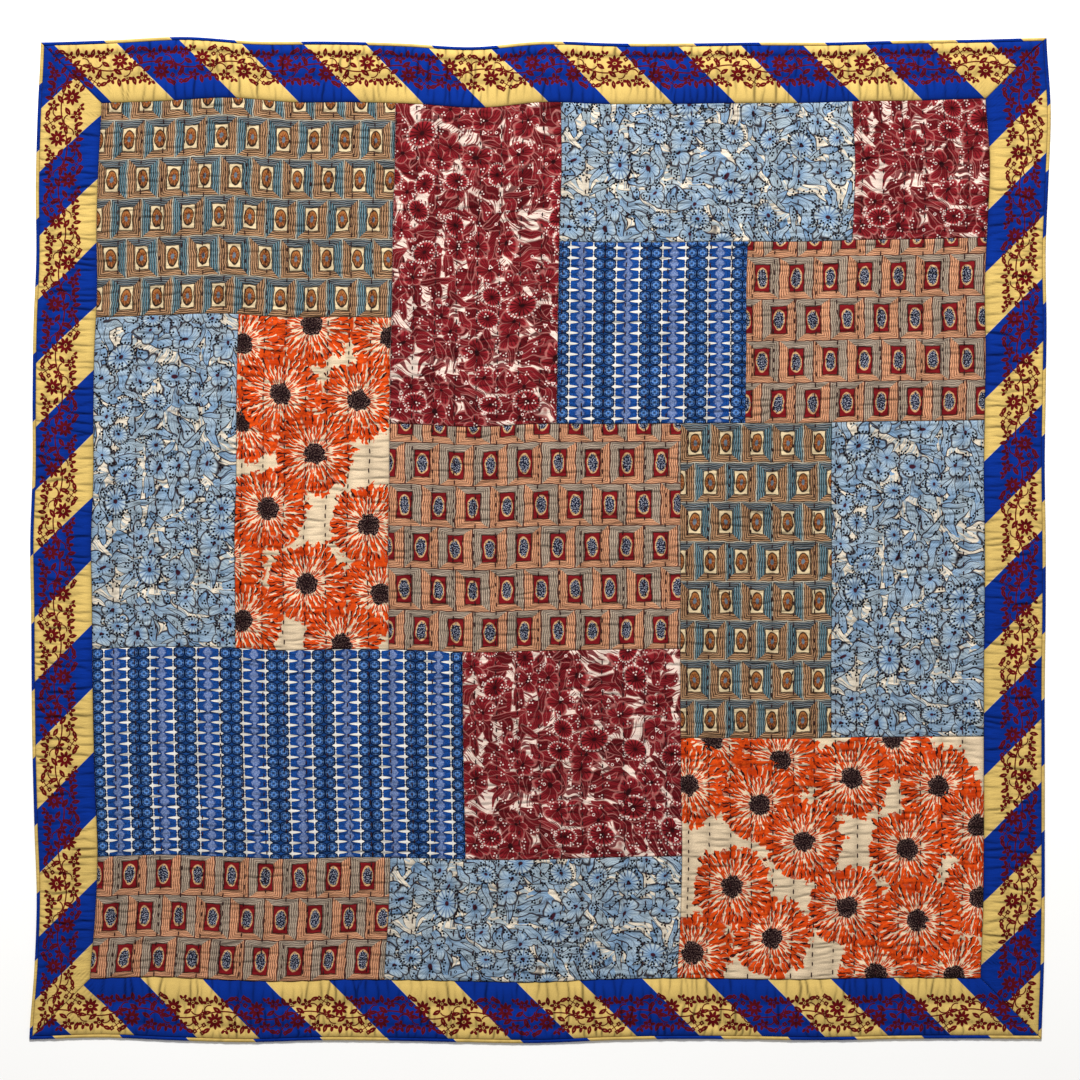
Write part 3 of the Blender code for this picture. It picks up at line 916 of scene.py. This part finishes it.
# %% The vine
def vine(add, place):
    """How much of the vine's maroon ink lies at a place."""
    place = add("VectorMath SUBTRACT", place, (0, VINE_MIDDLE, 0))
    x, y, _ = add("SeparateXYZ", place, take=None)
    swing = add("Math SINE", add("Math MULTIPLY", x, math.pi / VINE_STEP))
    stem = add("Math ABSOLUTE", add("Math MULTIPLY_ADD", swing, -8.0, y))
    marks = [add("MapRange", stem, STEM_HALF - 0.4, STEM_HALF + 0.4, 1, 0)]
    plans = (turned_over(add, x, y, 0.0), turned_over(add, x, y, VINE_STEP / 2))

    local = nearest_turned(add, plans, BLOOM_SPOTS)
    _, _, away, angle = polar(add, local)
    points = add("Math PINGPONG", add("Math MULTIPLY", angle, 9 / math.pi), 1.0)
    reach = add("Math MULTIPLY_ADD", add("Math POWER", points, 0.6), 0.52, 0.5)
    past = add("Math SUBTRACT", away, reach)
    eye = add("VectorMath LENGTH", add("VectorMath MULTIPLY", local, (3.6, 5.4, 0)), take="Value")
    eye = apart(add, eye, 0.75)
    marks.append(where_both(add, (past, -0.03, 0.03, 1, 0), (eye, 0.10, 0.22, 0, 1)))

    marks.append(lobed(add, nearest_turned(add, plans, STAR_SPOTS)))
    half = nearest_turned(add, plans, HALF_SPOTS)
    front, _, _ = add("SeparateXYZ", half, take=None)
    front = add("MapRange", front, -0.2, -0.1, 0, 1)
    marks.append(add("Math MULTIPLY", lobed(add, half), front))

    local = nearest_turned(add, plans, LEAF_SPOTS)
    lx, ly, _ = add("SeparateXYZ", local, take=None)
    side = add("Math MULTIPLY", add("Math ABSOLUTE", ly), 2.1)
    blade = add("Math MULTIPLY_ADD", lx, lx, side)
    slit = add("Math MULTIPLY", add("Math ADD", lx, 0.1), 2.4)
    slit = add("Math MULTIPLY_ADD", slit, slit, add("Math MULTIPLY", side, 7.0))
    marks.append(where_both(add, (blade, 0.92, 1.04, 1, 0), (slit, 0.30, 0.50, 0, 1)))

    local = nearest_turned(add, plans, SPRIG_SPOTS)
    fx, fy, _ = add("SeparateXYZ", add("VectorMath ABSOLUTE", local), take=None)
    bud = add("Math ADD", apart(add, fx, 0.58), apart(add, fy, 0.58))
    bud = where_both(add, (bud, 0.40, 0.47, 1, 0), (bud, 0.08, 0.14, 0, 1))
    stalk = where_both(add, (apart(add, fx, fy), 0.07, 0.12, 1, 0), (fx, 0.4, 0.45, 1, 0))
    marks.append(add("Math MAXIMUM", bud, stalk))

    local = nearest_turned(add, plans, CURL_SPOTS)
    _, ly, away, _ = polar(add, local)
    marks.append(where_both(add, (apart(add, away, 1.0), 0.08, 0.14, 1, 0), (ly, 0.2, 0.3, 0, 1)))

    covered = marks[0]
    for mark in marks[1:]:
        covered = add("Math MAXIMUM", covered, mark)
    return covered


# %% Border and binding cloth
def border_print(add, place, start, period):
    """Stripes with the vine over them."""
    colour, blue = striped(add, place, start, period)
    maroon = add("Mix RGBA", blue, "#620A0F", "#580A15")
    return add("Mix RGBA", vine(add, place), colour, maroon)


def binding_print(add, place, start, period):
    """Stripes alone."""
    return striped(add, place, start, period)[0]


BORDER_STRIPES = {
    "lower": (227.0, 272.5),
    "right": (161.5, 272.5),
    "upper": (257.0, 272.5),
    "left": (36.0, 277.0),
}
BINDING_STRIPES = {
    "lower": (-26.0, 290.0),
    "right": (84.0, 286.0),
    "upper": (102.0, 286.0),
    "left": (-112.0, 293.0),
}
across_strip = (0.16, 0.035, 1)
border_cloth = {}
binding_cloth = {}
for side in SIDES:
    start, period = BORDER_STRIPES[side]
    draw = partial(border_print, start=start, period=period)
    border_cloth[side] = cotton(f"printed_cotton_striped_border_{side}", draw, 0.06, 0.08, across_strip)
    start, period = BINDING_STRIPES[side]
    draw = partial(binding_print, start=start, period=period)
    binding_cloth[side] = cotton(f"printed_cotton_striped_binding_{side}", draw, 0.06, 0.08, across_strip)

# %% [markdown]
# ## Backing and thread
#
# The underside is plain unbleached cotton. It rests on the floor and is hardly ever
# seen, so it has the weave and a plain colour. The quilting thread is mercerised cotton,
# dyed dark maroon. It is twisted and a little shiny, so its roughness is lower than the
# cloth's.

# %% Backing and thread materials
def unprinted(add, place):
    """The colour of undyed cotton, a little yellow."""
    return add("Mix RGBA", 0.5, "#D8CDB8", "#D2C6B0")


backing = cotton("unbleached_cotton_backing", unprinted)


def twisted_thread(name):
    """A twisted cotton thread."""
    material = bpy.data.materials.new(name)
    material.use_nodes = True
    tree = material.node_tree
    add = partial(put, tree)
    where = add("TexCoord", take="Object")
    twist = add("TexWave", where, 900.0, 1.5, 2.0, take="Fac", wave_type="BANDS",
                bands_direction="DIAGONAL")
    tint = add("TexNoise", where, 240.0, 1.0)
    colour = add("Mix RGBA", add("MapRange", tint, 0.4, 0.8, 0, 0.5), "#260B0F", "#4A2022")
    shader = tree.nodes["Principled BSDF"]
    shader.inputs["IOR"].default_value = COTTON_IOR
    shader.inputs["Specular IOR Level"].default_value = 0.15
    tree.links.new(colour, shader.inputs["Base Color"])
    tree.links.new(add("MapRange", tint, 0.2, 0.8, 0.5, 0.65), shader.inputs["Roughness"])
    tree.links.new(add("Bump", 0.5, 0.0003, None, twist), shader.inputs["Normal"])
    return material


thread = twisted_thread("mercerised_cotton_thread_maroon")

# %% [markdown]
# ## Making a sheet
#
# Every patch and strip is a grid of points on its padded top, a short wall down to the
# floor all round and a flat underside. The points are closest together along the
# channels, where the puckers are narrow, and across a channel they crowd towards the
# stitch row, where the cloth turns sharply. The flat plan, the relief and the distances
# to the nearest stitch row and seam go with the points, for the materials to read. The
# plan places the print, and the relief and the distances set the painted shade.

# %% Sheets of cloth
def sheet_mesh(name, top, facts, front):
    """A closed sheet from rows and columns of top points, with its facts on the points."""
    rows, cols = top.shape[:2]
    index = np.arange(rows * cols).reshape(rows, cols)
    ring = np.concatenate((index[0, :-1], index[:-1, -1], index[-1, :0:-1], index[:0:-1, 0]))
    points = top.reshape(-1, 3)
    feet = points[ring] * (1, 1, 0)
    under = np.arange(len(ring)) + rows * cols
    quads = np.stack((index[:-1, :-1], index[:-1, 1:], index[1:, 1:], index[1:, :-1]), -1).reshape(-1, 4)
    walls = np.stack((np.roll(ring, -1), ring, under, np.roll(under, -1)), -1)
    faces = quads.tolist() + walls.tolist() + [under[::-1].tolist()]
    mesh = bpy.data.meshes.new(name)
    mesh.from_pydata(np.concatenate((points, feet)).tolist(), [], faces)
    for fact, values in facts.items():
        flat = values.reshape(rows * cols, -1)
        flat = np.concatenate((flat, flat[ring]))
        kind, key = ("FLOAT_VECTOR", "vector") if flat.shape[1] == 3 else ("FLOAT", "value")
        mesh.attributes.new(fact, kind, "POINT").data.foreach_set(key, flat.astype(np.float32).ravel())
    mesh.materials.append(front)
    mesh.materials.append(backing)
    mesh.shade_smooth()
    mesh.polygons[-1].use_smooth = False
    mesh.polygons[-1].material_index = 1
    piece = bpy.data.objects.new(name, mesh)
    bpy.context.scene.collection.objects.link(piece)
    return piece


def spread(low, high, step):
    """Evenly spread values from low to high, about a step apart."""
    return np.linspace(low, high, max(2, round((high - low) / step) + 1))


def across_places(rows, low, high):
    """Places across the channels, closer together near each stitch row."""
    parts = (0.0, 0.12, 0.31, 0.50, 0.69, 0.88)
    places = [a + (b - a) * part for a, b in zip(rows, rows[1:]) for part in parts]
    inner = [p for p in places if low + 2.0 < p < high - 2.0]
    return np.array([low, low + 1.2, *inner, high - 1.2, high])


# %% Patches
ALONG_STEP = 2.0
PRINT_CLOTH = {
    "teal_frames": teal_frames,
    "burgundy_floral": burgundy_floral,
    "sky_floral": sky_floral,
    "blue_columns": blue_columns,
    "salmon_frames": salmon_frames,
    "patch_08": orange_narrow,
    "patch_16": orange_wide,
}


def make_patch(row):
    """One patch of the field."""
    patch = dict(zip(PATCH_COLUMNS, row))
    low_x, high_x = patch["left"] + GAP / 2, patch["right"] - GAP / 2
    low_y, high_y = patch["lower"] + GAP / 2, patch["upper"] - GAP / 2
    x, y = np.meshgrid(across_places(field_rows, low_x, high_x), spread(low_y, high_y, ALONG_STEP))
    from_seam = np.minimum(np.minimum(x - low_x, high_x - x), np.minimum(y - low_y, high_y - y))
    height, relief = field_height(x, y, from_seam)
    part = (x - FIELD_LEFT) / CHANNEL % 1.0
    facts = {
        "cloth_mm": np.stack((x - low_x, y - low_y, np.zeros_like(x)), -1),
        "from_row_mm": np.minimum(part, 1 - part) * CHANNEL,
        "from_seam_mm": from_seam,
        "relief_mm": relief,
    }
    top = np.stack((*lie(x, y), height * MM), -1)
    node = f"{patch['name']}_{patch['print']}"
    front = PRINT_CLOTH.get(patch["name"]) or PRINT_CLOTH[patch["print"]]
    piece = sheet_mesh(f"cloth_{node}", top, facts, front)
    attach(piece, "root")
    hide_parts(node)
    return patch, piece


patches = [make_patch(row) for row in PATCHES]
print("patches:", sum(len(piece.data.polygons) for _, piece in patches), "faces")

# %% [markdown]
# ## Running stitches
#
# Each row is sewn by hand, so the stitches differ a little in length, step and line. A
# stitch is a short thick thread whose ends dive into the cloth. There are over three
# thousand, far too many for separate objects, so all the stitches on one patch are one
# mesh.

# %% Running stitches
STITCH_STEP = 21.3
STITCH_LENGTH = 8.8
STEP_VARIES = (0.86, 1.14)
LENGTH_VARIES = (0.75, 1.2)
OFF_ROW = 0.7
STITCH_SLANT = 0.06
THREAD_RADIUS = 1.4
OFF_SEAM = 50.0
CLEAR_X = 2
CLEAR_Y = 5
STITCH_PROFILE = (
    (-0.56, -0.5, 0.2),
    (-0.46, 0.1, 0.85),
    (-0.2, 0.75, 1.0),
    (0.2, 0.75, 1.0),
    (0.46, 0.1, 0.85),
    (0.56, -0.5, 0.2),
)
THREAD_SIDES = 4


def stitch_centres(seed):
    """Middle, length and slant of every stitch in the field."""
    rng = np.random.default_rng(seed)
    found = []
    for row in field_rows[1:-1]:
        y = FIELD_LOWER + rng.uniform(4, STITCH_STEP)
        while y < -FIELD_LOWER - 6:
            x = row + rng.normal(0, OFF_ROW)
            length = STITCH_LENGTH * rng.uniform(*LENGTH_VARIES)
            found.append((x, y, length, rng.normal(0, STITCH_SLANT)))
            y += STITCH_STEP * rng.uniform(*STEP_VARIES)
    return np.array(found)


def thread_faces():
    """The faces of one stitch. A thread of four sides has ends of four corners too."""
    rings = np.arange(len(STITCH_PROFILE) * THREAD_SIDES).reshape(-1, THREAD_SIDES)
    after = np.roll(rings, -1, axis=1)
    walls = np.stack((rings[:-1], after[:-1], after[1:], rings[1:]), -1).reshape(-1, 4)
    return np.concatenate((walls, rings[:1, ::-1], rings[-1:]))


def stitch_mesh(name, stitches):
    """All the given stitches as one mesh of short threads."""
    middle_x, middle_y, length, slant = stitches.T[:, :, None]
    place, rise, girth = np.transpose(STITCH_PROFILE)
    x, y = middle_x + slant * place * length, middle_y + place * length
    ground, _ = field_height(x, y, np.full_like(x, OFF_SEAM))
    middle = np.stack((*lie(x, y), (ground + rise) * MM), -1)[:, :, None]
    turn = 2 * math.pi * np.arange(THREAD_SIDES) / THREAD_SIDES
    off = (THREAD_RADIUS * girth * MM)[:, None]
    rim = np.stack((off * np.cos(turn), np.zeros_like(off * turn), off * np.sin(turn)), -1)
    points = (middle + rim).reshape(-1, 3).tolist()
    starts = np.arange(len(stitches)) * len(STITCH_PROFILE) * THREAD_SIDES
    faces = (thread_faces() + starts[:, None, None]).reshape(-1, 4).tolist()
    mesh = bpy.data.meshes.new(name)
    mesh.from_pydata(points, [], faces)
    mesh.shade_smooth()
    mesh.materials.append(thread)
    piece = bpy.data.objects.new(name, mesh)
    bpy.context.scene.collection.objects.link(piece)
    return piece


stitches = stitch_centres(seed=2)
for patch, piece in patches:
    inside_x = (stitches[:, 0] > patch["left"] + CLEAR_X) & (stitches[:, 0] < patch["right"] - CLEAR_X)
    inside_y = (stitches[:, 1] > patch["lower"] + CLEAR_Y) & (stitches[:, 1] < patch["upper"] - CLEAR_Y)
    sewn = stitch_mesh(f"stitches_{patch['name']}", stitches[inside_x & inside_y])
    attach(sewn, "root")
print("running stitches:", len(stitches))

# %% [markdown]
# ## Border strips
#
# A strip is made in its own plan, along its length and inward from the edge, and only
# then bent round to its side of the bedspread. Its ends are cut on the slant for the
# mitres, and the puckers grow fainter towards them.

# %% Border strips
BORDER_PUCKER_STEP = (11.0, 27.0)
BORDER_BOLDNESS = 1.25
CORNER = 110.0
CALM_CORNERS = 0.55


def strip_grid(half, inward, inner):
    """Distances along a strip: straight across it, and turning to the mitre at each end."""
    middle = half - inner - CORNER
    even = spread(-middle, middle, ALONG_STEP)
    steps = round((CORNER + inner - inward[0]) / ALONG_STEP)
    part = np.arange(1, steps + 1) / steps
    end = part * (half - inward - middle)[:, None]
    body = np.broadcast_to(even, (len(inward), len(even)))
    return np.concatenate((-middle - end[:, ::-1], body, middle + end), axis=1)


def make_border(side, seed):
    """One border strip with its three lengthwise channels."""
    outer, inner = BINDING + GAP / 2, BORDER - GAP / 2
    rows = (outer, *BORDER_ROWS, inner)
    half = HALF_WIDTH if side in ("lower", "upper") else HALF_LENGTH
    places = across_places(rows, outer, inner)
    distance = strip_grid(half, places, inner)
    inward = np.broadcast_to(places[:, None], distance.shape)
    x, y = side_point(side, distance / (half - inward), inward)
    creases = pucker_map(2 * half, rows, seed, BORDER_PUCKER_STEP, BORDER_BOLDNESS)
    relief = read_map(creases, distance + half, inward - outer)
    turned = np.clip((np.abs(distance) + inner + CORNER - half) / CORNER, 0, 1)
    relief *= 1 - CALM_CORNERS * turned
    mitre = (half - inward - np.abs(distance)) * math.sqrt(0.5)
    from_seam = np.minimum(inner - inward, mitre)
    part = np.zeros_like(inward)
    from_row = np.full_like(inward, 99.0)
    for first, second in zip(rows, rows[1:]):
        here = (inward >= first) & (inward <= second)
        part[here] = ((inward - first) / (second - first))[here]
    for row in rows[1:]:
        from_row = np.minimum(from_row, np.abs(inward - row))
    height = padded(part, x, y, relief, from_seam)
    facts = {
        "cloth_mm": np.stack((distance, inward, np.zeros_like(x)), -1),
        "from_row_mm": from_row,
        "from_seam_mm": from_seam,
        "relief_mm": relief,
    }
    top = np.stack((*lie(x, y, inward), height * MM), -1)
    piece = sheet_mesh(f"cloth_border_{side}", top, facts, border_cloth[side])
    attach(piece, "root")
    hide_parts(f"border_{side}")
    return piece


borders = [make_border(side, seed) for seed, side in enumerate(SIDES, start=11)]
print("border strips:", sum(len(piece.data.polygons) for piece in borders), "faces")

# %% [markdown]
# ## Binding
#
# The binding is a strip folded over the raw edge and stitched down, so it looks like a
# soft cord, rounded outside and pinched here and there. A section of nine points, given
# as inward and height, is carried along each side. The strip is cut 12 mm wide, 7 mm of
# which show.

# %% Binding strips
BINDING_SECTION = (
    (1.0, 0.3), (0.25, 1.2), (0.0, 2.2), (0.5, 3.4), (1.7, 4.3), (3.2, 4.65),
    (4.8, 4.6), (6.2, 4.1), (6.85, 3.2),
)
BINDING_STEP = 4.0
# These set how much shade is painted on the binding: a little all over, more towards its inner edge, and
# some in its pinches.
BINDING_OFF_ROW = 9.0
BINDING_OFF_SEAM = 8.2
PINCH = 0.09
PINCH_SHADE = 4


def make_binding(side, seed):
    """One binding strip, with shallow pinches along it."""
    rng = np.random.default_rng(seed)
    half = HALF_WIDTH if side in ("lower", "upper") else HALF_LENGTH
    count = round(2 * half / BINDING_STEP) + 1
    pinch = rng.normal(0, 1, count + 4)
    pinch = np.convolve(pinch, np.ones(3) / 3, mode="same")[2:-2] * PINCH
    section = np.array(BINDING_SECTION)
    along, inward = np.meshgrid(np.linspace(-1, 1, count), section[:, 0])
    height = np.repeat(section[:, 1][:, None], count, axis=1) * (1 + pinch[None, :])
    x, y = side_point(side, along, inward)
    distance = (half - inward) * along
    facts = {
        "cloth_mm": np.stack((distance, inward, np.zeros_like(x)), -1),
        "from_row_mm": np.full_like(x, BINDING_OFF_ROW),
        "from_seam_mm": BINDING_OFF_SEAM - inward,
        "relief_mm": np.repeat(pinch[None, :], len(section), axis=0) * PINCH_SHADE,
    }
    top = np.stack((*lie(x, y, inward), height * MM), -1)
    piece = sheet_mesh(f"cloth_binding_{side}", top, facts, binding_cloth[side])
    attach(piece, "root")
    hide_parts(f"binding_{side}")
    return piece


bindings = [make_binding(side, seed) for seed, side in enumerate(SIDES, start=21)]
print("binding strips:", sum(len(piece.data.polygons) for piece in bindings), "faces")

# %% [markdown]
# ## Floor, light and camera
#
# The bedspread lies on a plain pale floor. One soft studio lamp stands beyond its upper
# edge, so that edge is brighter than the lower one, as in the photograph, and the light
# rakes across the puckers. An even white sky fills the shadows. The camera looks
# straight down from 9 metres with a long lens, so the sides stay parallel.

# %% Floor
FLOOR_SIZE = 16.0
FLOOR_DROP = 0.0002
bpy.ops.mesh.primitive_plane_add(size=FLOOR_SIZE, location=(0, 0, -FLOOR_DROP))
floor = bpy.context.object
floor.name = "studio_floor"
paint = bpy.data.materials.new("matt_white_floor_paint")
paint.use_nodes = True
floor_add = partial(put, paint.node_tree)
floor_tone = floor_add("TexNoise", floor_add("TexCoord", take="Object"), 1.5, 3.0)
floor_colour = floor_add("Mix RGBA", floor_tone, "#F4F3F1", "#F9F8F6")
floor_shader = paint.node_tree.nodes["Principled BSDF"]
floor_shader.inputs["Roughness"].default_value = 0.9
paint.node_tree.links.new(floor_colour, floor_shader.inputs["Base Color"])
floor.data.materials.append(paint)

# %% Light
LAMP_PLACE = (-0.4, 6.4, 4.8)
lamp = bpy.data.lights.new("softbox", "AREA")
lamp.shape = "DISK"
lamp.size = 1.4
lamp.energy = 1015
softbox = bpy.data.objects.new("softbox", lamp)
softbox.location = LAMP_PLACE
softbox.rotation_euler = Vector(LAMP_PLACE).to_track_quat("Z", "Y").to_euler()
bpy.context.scene.collection.objects.link(softbox)
world = bpy.data.worlds.new("studio_sky")
world.use_nodes = True
sky = world.node_tree.nodes["Background"]
sky.inputs["Color"].default_value = (1.0, 1.0, 1.0, 1.0)
sky.inputs["Strength"].default_value = 0.36
bpy.context.scene.world = world
bpy.context.scene.view_settings.view_transform = "Standard"

# %% Camera
PICTURE_SIDE = 1080
MM_PER_PIXEL = 2.17
CAMERA_HEIGHT = 9.0
camera_data = bpy.data.cameras.new("camera")
camera = bpy.data.objects.new("camera", camera_data)
camera.location = (0, 0, CAMERA_HEIGHT)
camera_data.lens = camera_data.sensor_width * CAMERA_HEIGHT / (PICTURE_SIDE * MM_PER_PIXEL * MM)
bpy.context.scene.collection.objects.link(camera)
bpy.context.scene.camera = camera
print("lens:", round(camera_data.lens, 1), "mm")
